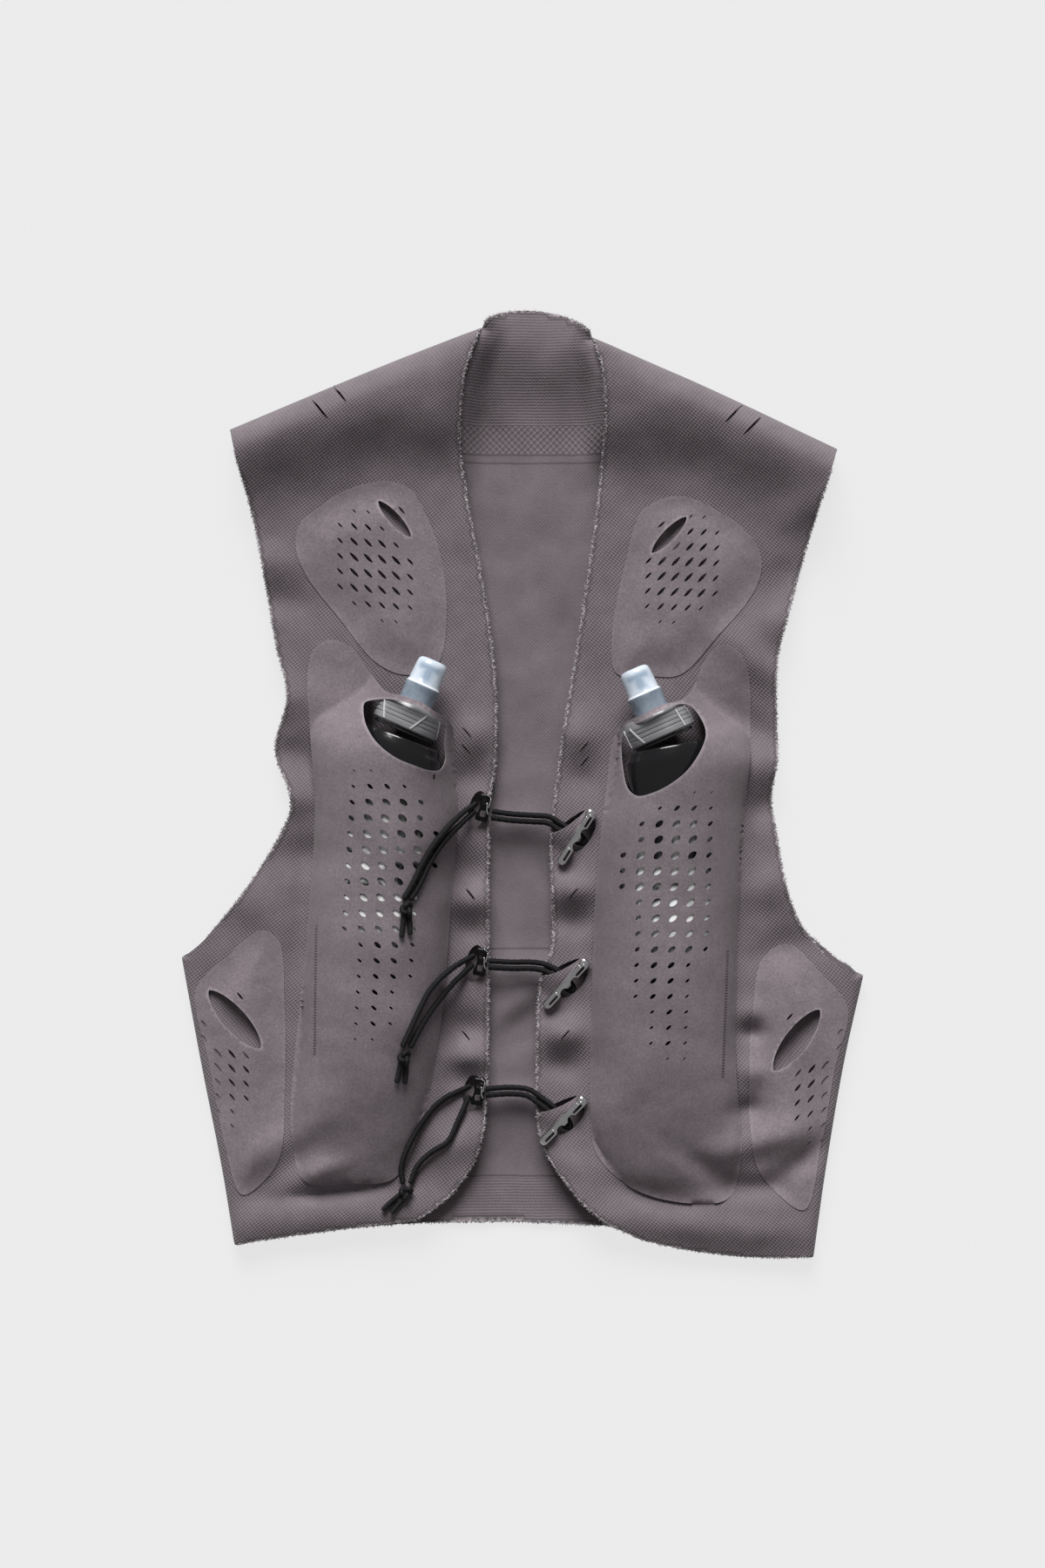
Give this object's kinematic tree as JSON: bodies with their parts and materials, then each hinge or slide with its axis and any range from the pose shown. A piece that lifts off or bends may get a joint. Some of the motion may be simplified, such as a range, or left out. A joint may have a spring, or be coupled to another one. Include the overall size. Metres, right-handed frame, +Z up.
{
  "type": "running vest with soft flasks",
  "caption": "Sleeveless running vest lying flat and open, with pierced pockets, soft drinking flasks in the long front pockets, and toggle and cord closures.",
  "frame": {"origin": "middle of the lying vest's box, on the floor under its back", "axes": "+X to the right as seen from above, +Y from the hem to the collar, +Z up from the floor"},
  "size_m": [0.494, 0.6852, 0.0689],
  "materials": {
    "shell_cloth": "matt fine twill, raw cut edges",
    "pocket_cloth": "smooth bonded knit, pierced",
    "smoke_film": "glossy dark film",
    "black_plastic": "satin",
    "smoke_plastic": "satin translucent, ribbed",
    "clear_silicone": "translucent",
    "bright_metal": "polished",
    "dark_metal": "polished dark",
    "black_cord": "braided"
  },
  "bodies": {
    "root": {"vest_shell": "shell_cloth", "chest_pocket_left": "pocket_cloth", "chest_pocket_right": "pocket_cloth", "side_pocket_left": "pocket_cloth", "side_pocket_right": "pocket_cloth", "flask_pocket_left": "pocket_cloth", "flask_pocket_right": "pocket_cloth", "flask_body_left": "smoke_film", "flask_body_right": "smoke_film", "flask_collar_left": "black_plastic", "flask_collar_right": "black_plastic", "flask_cap_left": "smoke_plastic", "flask_cap_right": "smoke_plastic", "bite_valve_left": "clear_silicone", "bite_valve_right": "clear_silicone", "toggle_bar_1": "bright_metal", "toggle_bar_2": "bright_metal", "toggle_bar_3": "bright_metal", "cord_lock_1": "dark_metal", "cord_lock_2": "dark_metal", "cord_lock_3": "dark_metal", "cord_loop_1": "black_cord", "cord_loop_2": "black_cord", "cord_loop_3": "black_cord", "cord_tail_1a": "black_cord", "cord_tail_1b": "black_cord", "cord_tail_2a": "black_cord", "cord_tail_2b": "black_cord", "cord_tail_3a": "black_cord", "cord_tail_3b": "black_cord", "cord_knot_1": "black_cord", "cord_knot_2": "black_cord", "cord_knot_3": "black_cord"}
  },
  "joints": []
}
